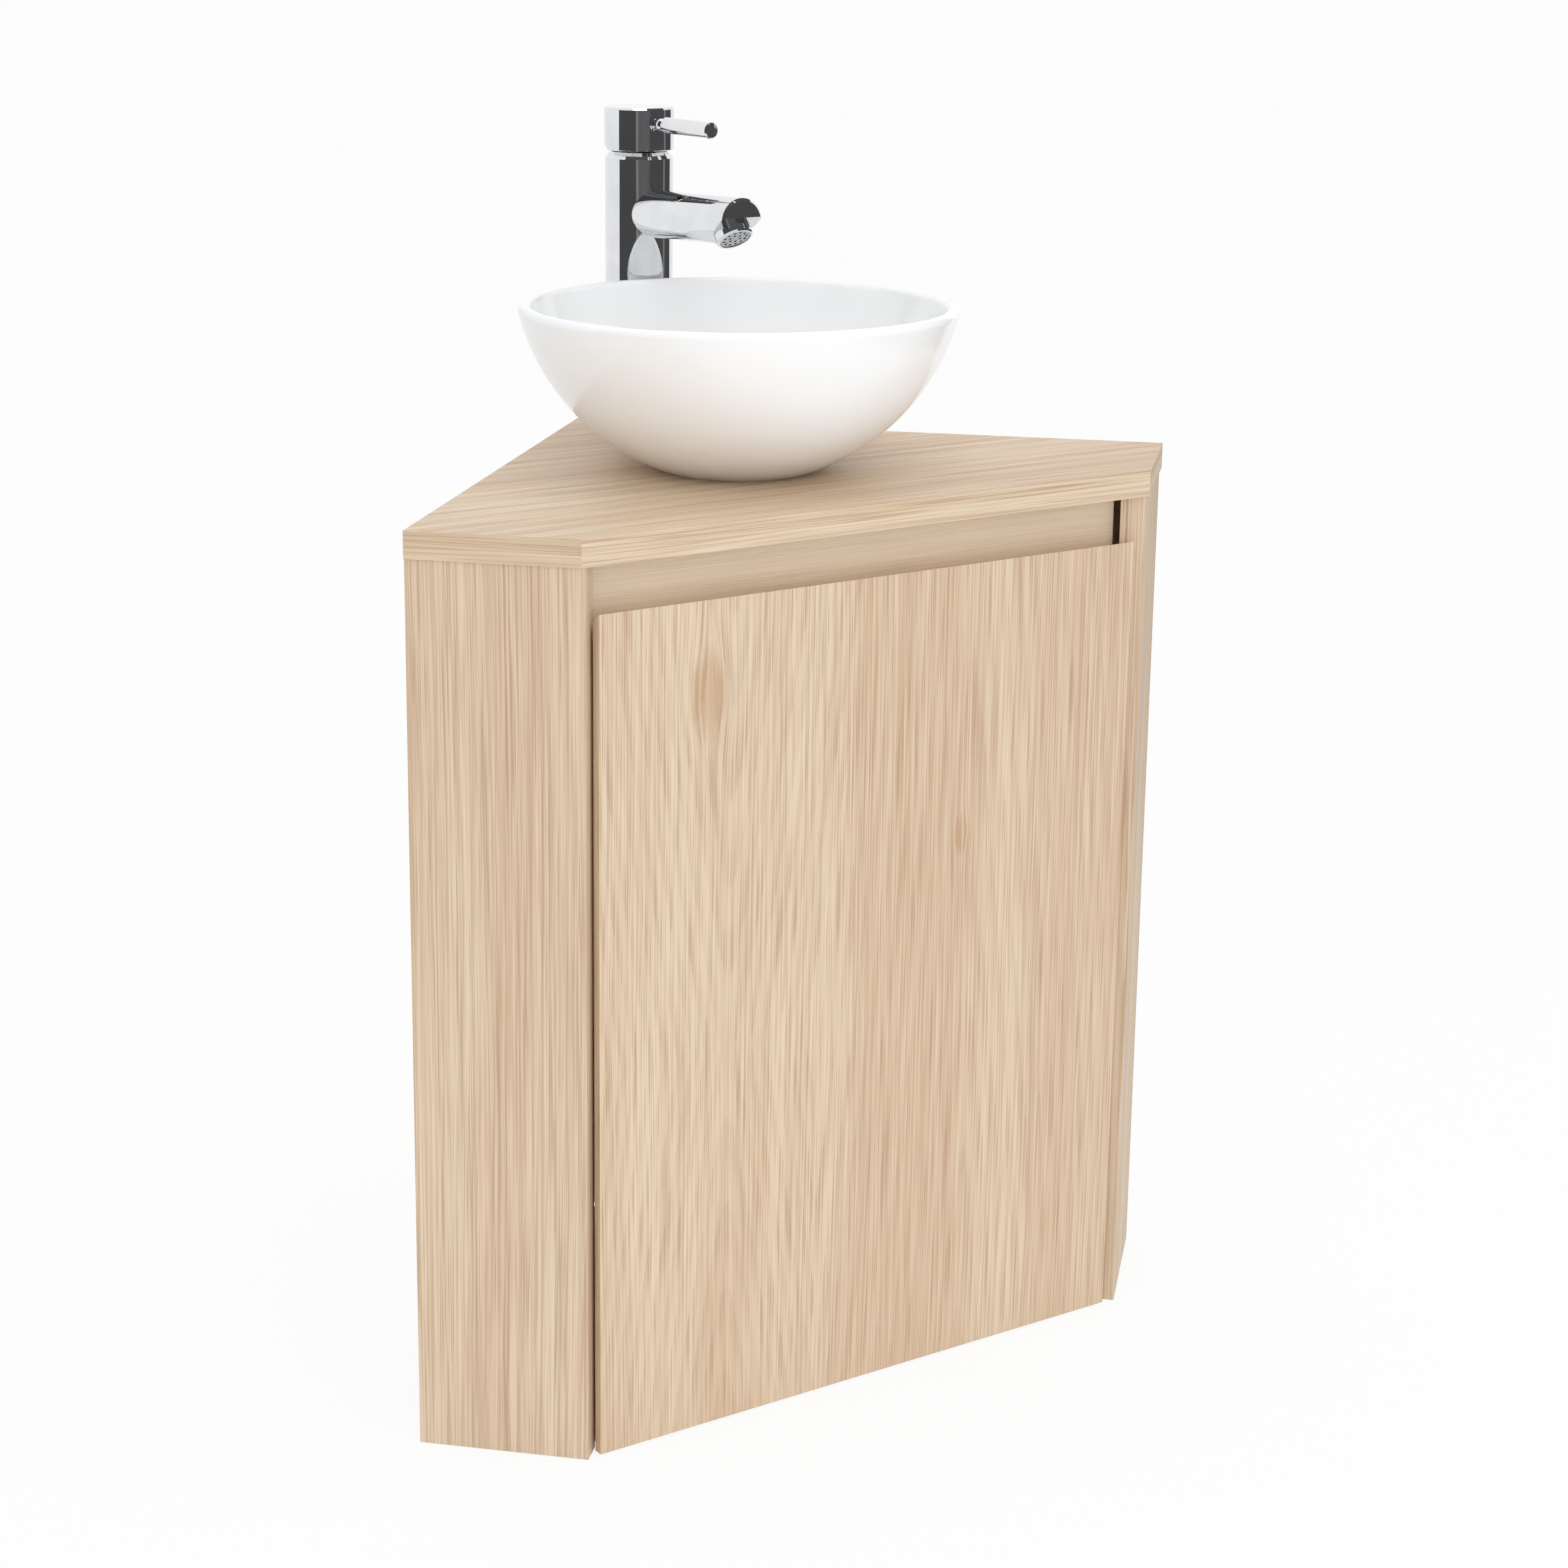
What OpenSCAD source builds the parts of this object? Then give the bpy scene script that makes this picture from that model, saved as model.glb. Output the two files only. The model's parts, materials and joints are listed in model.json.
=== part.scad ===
// Corner vanity cabinet with one door, a round bowl and a single-lever tap, in millimetres.
// Z is up and the door faces -Y. The origin is on the floor line, under the middle of the outer box.
// The two walls of the room meet behind the cabinet, on its +Y side.

/* [Cabinet] */
// Length of the worktop along each wall
wall_side = 390; // [380:1:420]
// Depth of the worktop's two short side edges
side_depth = 102; // [98:1:110]
// Height from the underside to the top of the worktop
body_h = 555; // [530:5:620]
// Thickness of every board
board = 16; // [15:0.5:18]
// Overhang of the worktop beyond each side panel
overhang = 1.5; // [0.5:0.5:3]
// Height of the rail behind the finger channel
rail_h = 60; // [50:1:75]
// Height of the shelf's top above the underside
shelf_z = 250; // [200:5:290]
// Distance from the front plane to the shelf's front edge
shelf_setback = 62; // [56:1:90]
// Leg of the corner cut off the bottom and the shelf, for supply pipes from the floor
pipe_corner = 61; // [58:1:68]

/* [Door] */
// Height of the finger channel between the worktop and the door
channel_h = 27.5; // [24:0.5:32]
// Inset of the door's free edge from the corner of the left panel
free_inset = 8.5; // [6:0.5:11]
// Inset of the door's hinged edge from the corner of the right panel
hinged_inset = 9.5; // [9:0.5:12]
// Gap between the bevelled door edges and the side panels
bevel_gap = 1.7; // [1.5:0.1:2.5]
// Gap between the back of the door and the boards behind it
door_gap = 2; // [1.6:0.1:3]
// Clearance under the door
door_lift = 1; // [0.5:0.5:3]

/* [Hinges] */
// Distance of the hinge axis from the corner of the right panel, along the door
axis_in = 13.5; // [13:0.5:16]
// Distance of the hinge axis behind the front plane
axis_deep = 3.5; // [3:0.5:4.5]
// Radius of the curved hinge arms about the axis
bow_r = 50; // [46:1:54]
// Thickness of a hinge arm
bow_t = 3; // [2:0.5:4]
// Height of a hinge arm
bow_h = 12; // [8:1:16]
// Opening angle of the door
door_open = 90; // [60:5:90]
// Height of the lower hinge
low_hinge_z = 80; // [60:5:120]
// Distance of the upper hinge below the rail
high_hinge_drop = 40; // [30:5:80]

/* [Bowl] */
// Radius of the bowl's outer sphere
bowl_r = 138; // [134:1:140]
// Height of the cap cut off the sphere where the bowl stands
bowl_cut = 8; // [7:0.5:10]
// Height of the rim above the worktop
bowl_h = 100.5; // [90:0.5:104]
// Thickness of the bowl's wall
bowl_wall = 8; // [6:0.5:9]
// Thickness of the bowl's floor
bowl_floor = 11; // [10:1:14]
// Place of the bowl to the right of the back corner
bowl_x = -10.2; // [-16:0.2:-6]
// Gap between the rim and the tap's body, measured towards the front
bowl_tap_gap = 0.7; // [0.5:0.1:3]

/* [Waste and trap] */
// Radius of the waste's threaded tail
tail_r = 20.8; // [19:0.1:21.5]
// Length of the tail below the worktop
tail_drop = 55; // [50:1:65]
// Travel of the push plug
plug_travel = 8; // [5:1:10]
// Radius of the waste's flange
flange_r = 32; // [30:1:36]
// Height of the trap's body
trap_body_h = 70; // [66:1:80]
// Radius of the trap's body
trap_r = 29; // [28:1:32]
// Height of the trap's cup
cup_h = 80; // [60:5:90]
// Radius of the outlet pipe
pipe_r = 16; // [14:0.5:17]
// Length of the pipe's free end, which goes into the wall's socket up to a stop rib
pipe_end = 38; // [30:1:42]

/* [Tap] */
// Place of the tap to the right of the back corner
tap_x = 16; // [14:0.5:17]
// Distance of the tap's middle in front of the back corner
tap_front = 52; // [50:0.5:52]
// Radius of the tap's body
tap_r = 22; // [20:0.5:22]
// Radius of the tap's head
head_r = 22.5; // [21.5:0.5:23]
// Height of the groove under the head above the worktop
groove_z = 180.6; // [165:0.1:200]
// Height of the head above the groove
head_h = 27.8; // [26:0.1:34]
// Height of the spout's axis above the worktop, at the body's middle
spout_z = 140.8; // [135:0.1:148]
// Angle by which the spout rises forwards
spout_rise = 2.2; // [0:0.1:4]
// Reach of the spout's nose from the tap's axis
spout_reach = 122; // [115:1:135]
// Radius of the spout where it leaves the body
spout_root_r = 15.3; // [14.8:0.1:16.5]
// Radius of the spout at its end
spout_end_r = 14.8; // [14.5:0.1:15.5]
// Reach of the lever's end from the tap's axis
lever_reach = 86; // [70:1:95]
// Height of the lever's axis above the groove
lever_up = 18; // [16:0.5:20]
// Radius of the lever
lever_r = 5.1; // [4.5:0.1:6]

/* [Fittings] */
// Shank radius of the wood screws
screw_r = 1.75; // [1.5:0.05:2]
// Radius of the assembly screws and dowels
joint_r = 3.5; // [3:0.1:4]
// Radius of the cam locks
cam_r = 7.5; // [7:0.1:8]
// Radial clearance of pieces that sit in holes
fit = 0.1; // [0.05:0.01:0.15]
// Length of a worktop bracket's legs
bracket_leg = 28; // [24:1:32]
// Thickness of the sheet steel fittings
sheet = 2.5; // [2:0.1:3]
// Radius of the holes for the wall screws
wall_hole_r = 4; // [3:0.5:5]
// Distance between the two wall screws in a back panel
wall_hole_span = 110; // [80:5:120]
// Width of the cut-outs for the pipes
cutout_w = 110; // [100:5:120]
// Height of the cut-outs for the pipes
cutout_h = 130; // [125:5:140]

/* [Hidden] */
$fn = 64;

// Overall places. In the wall frame, x runs along the left wall and y along the right wall.
root2 = sqrt(2);
corner_y = (wall_side + side_depth) / root2 / 2;
front_y = -corner_y;
panel_h = body_h - board;
side_in = wall_side - overhang - board;
panel_depth = side_depth + overhang;
outer_x = (wall_side - side_depth - 2 * overhang) / root2;
inner_x = outer_x - board / root2;
rail_y = front_y + board + door_gap;
door_top = panel_h - channel_h;
bowl_centre_h = bowl_r - bowl_cut;
rim_r = sqrt(bowl_r * bowl_r - (bowl_centre_h - bowl_h) * (bowl_centre_h - bowl_h));
bowl_front = tap_front + tap_r + bowl_tap_gap + rim_r;
edge = 0.4;

// Colours of the pale oak boards, the white glaze, the chrome and the fittings
oak = [0.83, 0.73, 0.62];
glaze = [0.96, 0.96, 0.95];
chrome = [0.78, 0.79, 0.81];
steel = [0.62, 0.63, 0.65];
brass = [0.72, 0.6, 0.32];
grey_rubber = [0.2, 0.2, 0.21];
white_plastic = [0.9, 0.9, 0.89];
black_plastic = [0.12, 0.12, 0.13];

module in_walls() {
    translate([0, corner_y, 0]) rotate([0, 0, 225]) children();
}

module both_sides() {
    children();
    mirror([1, 0, 0]) children();
}

// The sum x + y of the line at a distance behind the front plane, in the wall frame
function front_line(back) = wall_side + side_depth - back * root2;

// Outline of a board that fills the inside of the cabinet, kept off the panels by a clearance. Its
// back corner is cut off
module inside_outline(back, clear) {
    near = board + clear;
    far = side_in - clear;
    cut = board + pipe_corner;
    line = front_line(back);
    polygon([[cut, near], [far, near], [far, line - far], [line - far, far], [near, far], [near, cut]]);
}

// A pan-head screw that points down, with the underside of its head at z = 0
module wood_screw(length, r = screw_r) {
    head_r = r * 2;
    head_h = r * 1.1;
    recess = r * 0.45;
    difference() {
        union() {
            translate([0, 0, -length + r]) cylinder(h = length - r + head_h / 2, r = r);
            translate([0, 0, -length]) cylinder(h = r, r1 = r * 0.2, r2 = r);
            cylinder(h = head_h * 0.6, r = head_r);
            translate([0, 0, head_h * 0.6]) cylinder(h = head_h * 0.4, r1 = head_r, r2 = head_r * 0.7);
        }
        for (turn = [0, 90])
            rotate([0, 0, turn]) translate([-head_r * 0.6, -recess / 2, head_h * 0.4])
                cube([head_r * 1.2, recess, head_h]);
    }
}

module screw_hole(depth, r = screw_r) {
    translate([0, 0, -depth]) cylinder(h = depth + edge, r = r + fit);
}

// Cam joints between a back panel and its side panel, and between the bottom and a side panel
cam_back = 24;
cam_depth = 12.5;
bolt_r = 3;
bolt_in_side = 10;
dowel_in_side = 11;
dowel_in_edge = 18;
dowel_step = 32;
cam_end = 70;
cam_rise = 40;
cam_heights = [cam_end, panel_h / 2 + cam_rise, panel_h - cam_end];
base_cams = [34, 72];

// Places each child at the end of the left back panel, where x runs out of the panel's end
module at_back_joints() {
    in_walls() for (z = cam_heights) translate([side_in, board / 2, z]) children();
}

// The same at the bottom panel's edge, with the cam opening downwards
module at_base_joints() {
    in_walls() for (y = base_cams) translate([side_in, y, board / 2]) rotate([-90, 0, 0]) children();
}

// A cam opens on the y = board / 2 side of its joint
module cam_bore() {
    translate([-cam_back, board / 2 + edge, 0]) rotate([90, 0, 0]) cylinder(h = cam_depth + edge, r = cam_r);
    translate([-cam_back, 0, 0]) rotate([0, 90, 0]) cylinder(h = cam_back + edge, r = bolt_r + fit);
}

module cam_lock() {
    difference() {
        translate([-cam_back, board / 2 - 0.3, 0]) rotate([90, 0, 0])
            cylinder(h = cam_depth - 0.3, r = cam_r - fit);
        translate([-cam_back, 0, 0]) rotate([0, 90, 0]) cylinder(h = cam_back, r = bolt_r + 2 * fit);
        for (turn = [0, 90])
            translate([-cam_back, board / 2, 0]) rotate([0, turn, 0])
                translate([-cam_r * 0.6, -1.8, -0.7]) cube([cam_r * 1.2, 2, 1.4]);
    }
}

module cam_bolt() {
    translate([-cam_back + 1, 0, 0]) rotate([0, 90, 0])
        cylinder(h = cam_back - 1 + bolt_in_side - fit, r = bolt_r);
}

module cam_side_holes() {
    rotate([0, 90, 0]) translate([0, 0, -edge]) cylinder(h = bolt_in_side + edge, r = bolt_r + fit);
}

module dowel() {
    translate([-dowel_in_edge + fit, 0, 0]) rotate([0, 90, 0])
        cylinder(h = dowel_in_edge + dowel_in_side - 2 * fit, r = joint_r);
}

module dowel_bore() {
    translate([-dowel_in_edge, 0, 0]) rotate([0, 90, 0])
        cylinder(h = dowel_in_edge + dowel_in_side, r = joint_r + fit);
}

module at_back_dowels() {
    at_back_joints() translate([0, 0, -dowel_step]) children();
}

module at_base_dowel() {
    in_walls() translate([side_in, (base_cams[0] + base_cams[1]) / 2, board / 2]) children();
}

// Long assembly screws, driven from behind through the back panels
long_screw = 48;
long_head_r = 5;
long_head_h = 4;
long_sink = 0.3;
base_screw_near = 23;
base_screw_far = 52.5;
base_screw_x = [board + pipe_corner + base_screw_near, side_in - base_screw_far];

module long_screw_shape() {
    rotate([-90, 0, 0]) {
        cylinder(h = long_screw, r = joint_r);
        cylinder(h = long_head_h, r1 = long_head_r, r2 = joint_r);
    }
}

module long_screw_bore() {
    rotate([-90, 0, 0]) {
        translate([0, 0, -long_sink - edge]) cylinder(h = long_screw + 2 * edge + long_sink, r = joint_r + fit);
        cylinder(h = long_head_h, r1 = long_head_r + fit, r2 = joint_r + fit);
        translate([0, 0, -long_sink - edge]) cylinder(h = long_sink + edge, r = long_head_r + fit);
    }
}

// Places each child at the screws through the corner, and at those into the bottom panel
module at_corner_screws() {
    in_walls() for (z = cam_heights) translate([board / 2, long_sink, z - dowel_step / 2]) children();
}

module at_base_screws() {
    both_sides() in_walls() for (x = base_screw_x) translate([x, long_sink, board / 2]) children();
}

// Holes for the wall screws and the cut-out for the pipes, in the left back panel
cutout_x = (bowl_front - bowl_x) / root2 - 7;
cutout_z = body_h - board - tail_drop - trap_body_h * 0.55;
wall_hole_drop = 45;
wall_hole_z = panel_h - wall_hole_drop;
wall_hole_far = 87.5;
wall_hole_mid = side_in - wall_hole_far;

module back_openings() {
    translate([cutout_x - cutout_w / 2, -edge, cutout_z - cutout_h / 2])
        cube([cutout_w, board + 2 * edge, cutout_h]);
    for (side = [-1, 1])
        translate([wall_hole_mid + side * wall_hole_span / 2, -edge, wall_hole_z]) rotate([-90, 0, 0])
            cylinder(h = board + 2 * edge, r = wall_hole_r);
}

// Shelf pins, two in each back panel and one in each side panel
pin_r = 2.5;
pin_in = 9;
pin_out = 9;
pin_near = 100;
pin_far = 102.5;
pin_side = 40;
pin_places = [[pin_near, board, 0], [side_in - pin_far, board, 0], [side_in, pin_side, 90]];

module at_pins() {
    both_sides() in_walls() for (p = pin_places)
        translate([p[0], p[1], shelf_z - board - pin_r]) rotate([0, 0, p[2]]) rotate([-90, 0, 0]) children();
}

module pin_holes() {
    at_pins() translate([0, 0, -pin_in]) cylinder(h = pin_in + edge, r = pin_r + fit);
}

// Angle brackets that hold the worktop. Each place is x, y and turn, in the wall frame
bracket_w = 20;
bracket_near = 84;
bracket_far = 72.5;
bracket_side = 58;
bracket_places = [[bracket_near, board, 90], [side_in - bracket_far, board, 90], [side_in, bracket_side, 180]];
rail_bracket_in = 91.5;
rail_bracket_x = outer_x - rail_bracket_in;
bracket_hole = 17;
bracket_screw = 12;

module at_brackets() {
    both_sides() {
        in_walls() for (p = bracket_places) translate([p[0], p[1], panel_h]) rotate([0, 0, p[2]]) children();
        translate([rail_bracket_x, rail_y + board, panel_h]) rotate([0, 0, 90]) children();
    }
}

// Moves children to a bracket's two screws, which point up and towards the board
module at_bracket_screws() {
    translate([bracket_hole, 0, -sheet]) rotate([180, 0, 0]) children();
    translate([sheet, 0, -bracket_hole]) rotate([0, 90, 0]) children();
}

// Frame of the door's hinges: the axis is at the origin, x runs along the door towards its free
// edge and y runs into the cabinet
module at_hinge(z) {
    translate([outer_x - axis_in, front_y + axis_deep, z]) mirror([1, 0, 0]) children();
}

high_hinge_z = panel_h - rail_h - high_hinge_drop;
hinge_heights = [low_hinge_z, high_hinge_z];
door_back = board - axis_deep;
plate_t = 2;
run_gap = 0.3;
guide_start = 24;
guide_turn = 8;
guide_wall = 4.3;
guide_half = bow_h / 2 + 3.5;
bow_start = asin((door_back + plate_t / 3) / bow_r);
bow_end = guide_start + guide_turn + door_open + 1;
plate_h = 30;
plate_from = bow_r * cos(bow_start) - 11;
plate_l = 48;
plate_screws = [[26, 9], [26, -9], [41, 0]];
plate_screw = 11;
arm_from = 10;
arm_to = 50;
arm_drop = 20;
arm_inset = 1;
arm_screw_x = [19, 41];
arm_screw_z = -13;
arm_screw = 13;

function polar(r, a) = [r * cos(a), r * sin(a)];
function along_panel(u) = [board / root2 - axis_in - u / root2, board / root2 - axis_deep + u / root2];

// Frame on the inner face of the right panel: x runs into the cabinet along the panel, y into it
module on_right_panel() {
    start = along_panel(0);
    translate([start[0], start[1], 0]) rotate([0, 0, 135]) children();
}

module ring_piece(from, turn, r, wall, low, height) {
    rotate([0, 0, from]) rotate_extrude(angle = turn, $fn = 128)
        translate([r - wall / 2, low]) square([wall, height]);
}

module hinge_bracket_at(z) {
    at_hinge(z) {
        difference() {
            on_right_panel() translate([arm_from, -sheet, -arm_drop])
                cube([arm_to - arm_from, sheet, arm_drop + guide_half + sheet / 2]);
            at_arm_screws() screw_hole(sheet + edge);
        }
        translate([0, 0, guide_half]) linear_extrude(sheet)
            polygon([
                along_panel(arm_from + arm_inset), polar(bow_r - guide_wall - bow_t / 2, guide_start),
                polar(bow_r + guide_wall + bow_t / 2, guide_start),
                polar(bow_r + guide_wall + bow_t / 2, guide_start + guide_turn),
                along_panel(arm_to - arm_inset)
            ]);
    }
}

module at_arm_screws() {
    on_right_panel() for (x = arm_screw_x) translate([x, -sheet, arm_screw_z]) rotate([90, 0, 0]) children();
}

module hinge_guide_at(z) {
    slot = bow_t + 2 * run_gap;
    at_hinge(z) difference() {
        ring_piece(guide_start, guide_turn, bow_r, bow_t + 2 * guide_wall, -guide_half, 2 * guide_half);
        ring_piece(guide_start - 1, guide_turn + 2, bow_r, slot, -bow_h / 2 - run_gap, bow_h + 2 * run_gap);
    }
}

module hinge_bow_at(z) {
    at_hinge(z) {
        ring_piece(bow_start, bow_end - bow_start, bow_r, bow_t, -bow_h / 2, bow_h);
        difference() {
            translate([plate_from, door_back, -plate_h / 2]) cube([plate_l, plate_t, plate_h]);
            at_plate_screws() screw_hole(plate_t + edge);
        }
    }
}

module at_plate_screws() {
    for (p = plate_screws)
        translate([plate_from + p[0], door_back + plate_t, p[1]]) rotate([-90, 0, 0]) children();
}

// Magnetic catch under the rail, and the strike plate that it holds, on the back of the door
catch_in = 81.5;
catch_x = catch_in - outer_x;
catch_l = 44;
catch_h = 12;
catch_face = 0.5;
strike_t = 1.2;
strike_l = 62;
strike_h = 14;
catch_screw = 12;
strike_screw = 10;
catch_z = panel_h - rail_h - catch_h / 2;
magnet_l = 20;
magnet_h = 6;
magnet_in = 6;
bumper_r = 4;
bumper_in = 36.5;
bumper_x = bumper_in - outer_x;

module at_catch_screws() {
    for (side = [-1, 1])
        translate([catch_x + side * (catch_l / 2 - 6), rail_y + board / 2, catch_z - catch_h / 2])
            rotate([180, 0, 0]) children();
}

module at_strike_screws() {
    for (side = [-1, 1])
        translate([catch_x + side * (strike_l / 2 - 4.5), front_y + board + strike_t, catch_z])
            rotate([-90, 0, 0]) children();
}

module worktop() {
    color(oak) difference() {
        in_walls() translate([0, 0, panel_h]) linear_extrude(board)
            polygon([
                [0, 0], [wall_side, 0], [wall_side, side_depth], [side_depth, wall_side], [0, wall_side]
            ]);
        at_bowl() translate([0, 0, -board - edge]) cylinder(h = board + 2 * edge, r = tail_hole_r);
        at_tap() translate([0, 0, -board - edge]) cylinder(h = board + 2 * edge, r = tap_hole_r);
        at_brackets() translate([bracket_hole, 0, -sheet]) rotate([180, 0, 0]) screw_hole(bracket_screw + fit);
    }
}

module side_panel() {
    difference() {
        in_walls() translate([side_in, 0, 0]) cube([board, panel_depth, panel_h]);
        at_back_joints() cam_side_holes();
        at_back_dowels() dowel_bore();
        at_base_joints() cam_side_holes();
        at_base_dowel() dowel_bore();
    }
}

module left_side_panel() {
    color(oak) difference() {
        side_panel();
        pin_holes();
        at_brackets() at_bracket_screws() screw_hole(bracket_screw + fit);
    }
}

module right_side_panel() {
    color(oak) difference() {
        mirror([1, 0, 0]) side_panel();
        pin_holes();
        at_brackets() at_bracket_screws() screw_hole(bracket_screw + fit);
        for (z = hinge_heights) at_hinge(z) at_arm_screws() screw_hole(arm_screw + fit);
    }
}

module back_panel_cuts() {
    in_walls() back_openings();
    at_back_joints() cam_bore();
    at_back_dowels() dowel_bore();
}

module left_back_panel() {
    color(oak) difference() {
        in_walls() cube([side_in, board, panel_h]);
        back_panel_cuts();
        pin_holes();
        at_brackets() at_bracket_screws() screw_hole(bracket_screw + fit);
        at_corner_screws() long_screw_bore();
        at_base_screws() long_screw_bore();
    }
}

module right_back_panel() {
    color(oak) difference() {
        in_walls() translate([0, board, 0]) cube([board, side_in - board, panel_h]);
        mirror([1, 0, 0]) back_panel_cuts();
        tap_notch();
        pin_holes();
        at_brackets() at_bracket_screws() screw_hole(bracket_screw + fit);
        at_corner_screws() long_screw_bore();
        at_base_screws() long_screw_bore();
    }
}

module bottom_panel() {
    color(oak) difference() {
        in_walls() linear_extrude(board) inside_outline(board + door_gap, 0);
        both_sides() at_base_joints() cam_bore();
        both_sides() at_base_dowel() dowel_bore();
        at_base_screws() long_screw_bore();
    }
}

module front_rail() {
    color(oak) difference() {
        translate([-inner_x, rail_y, panel_h - rail_h]) cube([2 * inner_x, board, rail_h]);
        at_brackets() at_bracket_screws() screw_hole(bracket_screw + fit);
        at_catch_screws() screw_hole(catch_h + catch_screw + fit);
    }
}

module shelf() {
    color(oak) in_walls() translate([0, 0, shelf_z - board]) linear_extrude(board)
        inside_outline(shelf_setback, 0.5);
}

module shelf_pins() {
    color(steel) at_pins() translate([0, 0, -pin_in + fit]) cylinder(h = pin_in + pin_out, r = pin_r);
}

module corner_screws() {
    color(steel) at_corner_screws() long_screw_shape();
}

module base_screws() {
    color(steel) at_base_screws() long_screw_shape();
}

module cam_locks() {
    color(steel) both_sides() {
        at_back_joints() cam_lock();
        at_base_joints() cam_lock();
    }
}

module cam_bolts() {
    color(steel) both_sides() {
        at_back_joints() cam_bolt();
        at_base_joints() cam_bolt();
    }
}

module wood_dowels() {
    color([0.8, 0.66, 0.45]) both_sides() {
        at_back_dowels() dowel();
        at_base_dowel() dowel();
    }
}

module worktop_brackets() {
    color(steel) at_brackets() difference() {
        union() {
            translate([0, -bracket_w / 2, -sheet]) cube([bracket_leg, bracket_w, sheet]);
            translate([0, -bracket_w / 2, -bracket_leg]) cube([sheet, bracket_w, bracket_leg]);
        }
        at_bracket_screws() screw_hole(sheet + edge);
    }
}

module bracket_screws() {
    color(steel) at_brackets() at_bracket_screws() wood_screw(bracket_screw);
}

module upper_hinge_bracket() {
    color(steel) hinge_bracket_at(high_hinge_z);
}

module lower_hinge_bracket() {
    color(steel) hinge_bracket_at(low_hinge_z);
}

module upper_hinge_guide() {
    color(black_plastic) hinge_guide_at(high_hinge_z);
}

module lower_hinge_guide() {
    color(black_plastic) hinge_guide_at(low_hinge_z);
}

module hinge_bracket_screws() {
    color(steel) for (z = hinge_heights) at_hinge(z) at_arm_screws() wood_screw(arm_screw);
}

module catch_housing() {
    color(white_plastic) difference() {
        translate([catch_x - catch_l / 2, front_y + board + strike_t + catch_face, catch_z - catch_h / 2])
            cube([catch_l, board + door_gap - strike_t - catch_face, catch_h]);
        magnet_box(fit);
        at_catch_screws() screw_hole(catch_h + edge);
    }
}

module magnet_box(grow) {
    translate([
        catch_x - magnet_l / 2 - grow, front_y + board + strike_t + catch_face - grow,
        catch_z - magnet_h / 2 - grow
    ])
        cube([magnet_l + 2 * grow, magnet_in + 2 * grow, magnet_h + 2 * grow]);
}

module catch_magnet() {
    color(grey_rubber) magnet_box(0);
}

module catch_screws() {
    color(steel) at_catch_screws() wood_screw(catch_h + catch_screw);
}

module door() {
    slant = bevel_gap * root2;
    free_x = -outer_x + free_inset;
    hinged_x = outer_x - hinged_inset;
    color(oak) difference() {
        translate([0, front_y, door_lift]) linear_extrude(door_top - door_lift)
            polygon([
                [free_x, 0], [hinged_x, 0], [hinged_x, hinged_inset - slant],
                [outer_x - board - slant, board], [-outer_x + board + slant, board],
                [free_x, free_inset - slant]
            ]);
        translate([-outer_x, front_y, door_top]) rotate([90, 0, 90]) linear_extrude(2 * outer_x)
            polygon([[-edge, edge], [board + edge, -board - edge], [board + edge, edge]]);
        for (z = hinge_heights) at_hinge(z) at_plate_screws() screw_hole(plate_screw + fit);
        at_strike_screws() screw_hole(strike_screw + fit);
    }
}

module upper_hinge_bow() {
    color(steel) hinge_bow_at(high_hinge_z);
}

module lower_hinge_bow() {
    color(steel) hinge_bow_at(low_hinge_z);
}

module hinge_bow_screws() {
    color(steel) for (z = hinge_heights) at_hinge(z) at_plate_screws() wood_screw(plate_screw);
}

module catch_strike() {
    color(steel) difference() {
        translate([catch_x - strike_l / 2, front_y + board, catch_z - strike_h / 2])
            cube([strike_l, strike_t, strike_h]);
        at_strike_screws() screw_hole(strike_t + edge);
    }
}

module strike_screws() {
    color(steel) at_strike_screws() wood_screw(strike_screw, screw_r * 0.8);
}

module door_bumpers() {
    color(grey_rubber) for (z = [board / 2, panel_h - rail_h + bumper_r + 4])
        translate([bumper_x, front_y + board, z]) rotate([-90, 0, 0])
            cylinder(h = door_gap - run_gap, r1 = bumper_r, r2 = bumper_r * 0.8);
}

// Bowl and waste
tail_hole_r = tail_r + 2;
washer_t = 1.5;
flange_t = 3;
tail_bore = tail_r - 3.5;
waste_top = bowl_floor + washer_t;
gasket_t = 3;
nut_t = 9;
stem_r = 4;
guide_h = 6;
plug_t = 4;

module at_bowl() {
    translate([bowl_x, corner_y - bowl_front, body_h]) children();
}

module basin() {
    inner = bowl_r - bowl_wall;
    lip = bowl_wall / 2;
    mid = bowl_r - lip;
    tilt = acos((bowl_centre_h - bowl_h + lip * 0.8) / mid);
    color(glaze) at_bowl() difference() {
        union() {
            intersection() {
                translate([0, 0, bowl_centre_h]) sphere(r = bowl_r, $fn = 128);
                translate([0, 0, bowl_centre_h - bowl_r * 1.2])
                    cylinder(h = bowl_r * 1.2, r1 = bowl_r * 1.2 * tan(tilt), r2 = 0, $fn = 128);
                cylinder(h = bowl_h, r = bowl_r, $fn = 128);
            }
            translate([0, 0, bowl_centre_h - mid * cos(tilt)]) rotate_extrude($fn = 128)
                translate([mid * sin(tilt), 0]) circle(r = lip, $fn = 32);
        }
        intersection() {
            translate([0, 0, bowl_centre_h]) sphere(r = inner, $fn = 128);
            translate([0, 0, bowl_floor]) cylinder(h = bowl_h, r = bowl_r, $fn = 128);
        }
        translate([0, 0, -edge]) cylinder(h = bowl_floor + 2 * edge, r = tail_hole_r);
    }
}

module washer(outer, inner, height) {
    difference() {
        cylinder(h = height, r = outer);
        translate([0, 0, -edge]) cylinder(h = height + 2 * edge, r = inner);
    }
}

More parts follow.
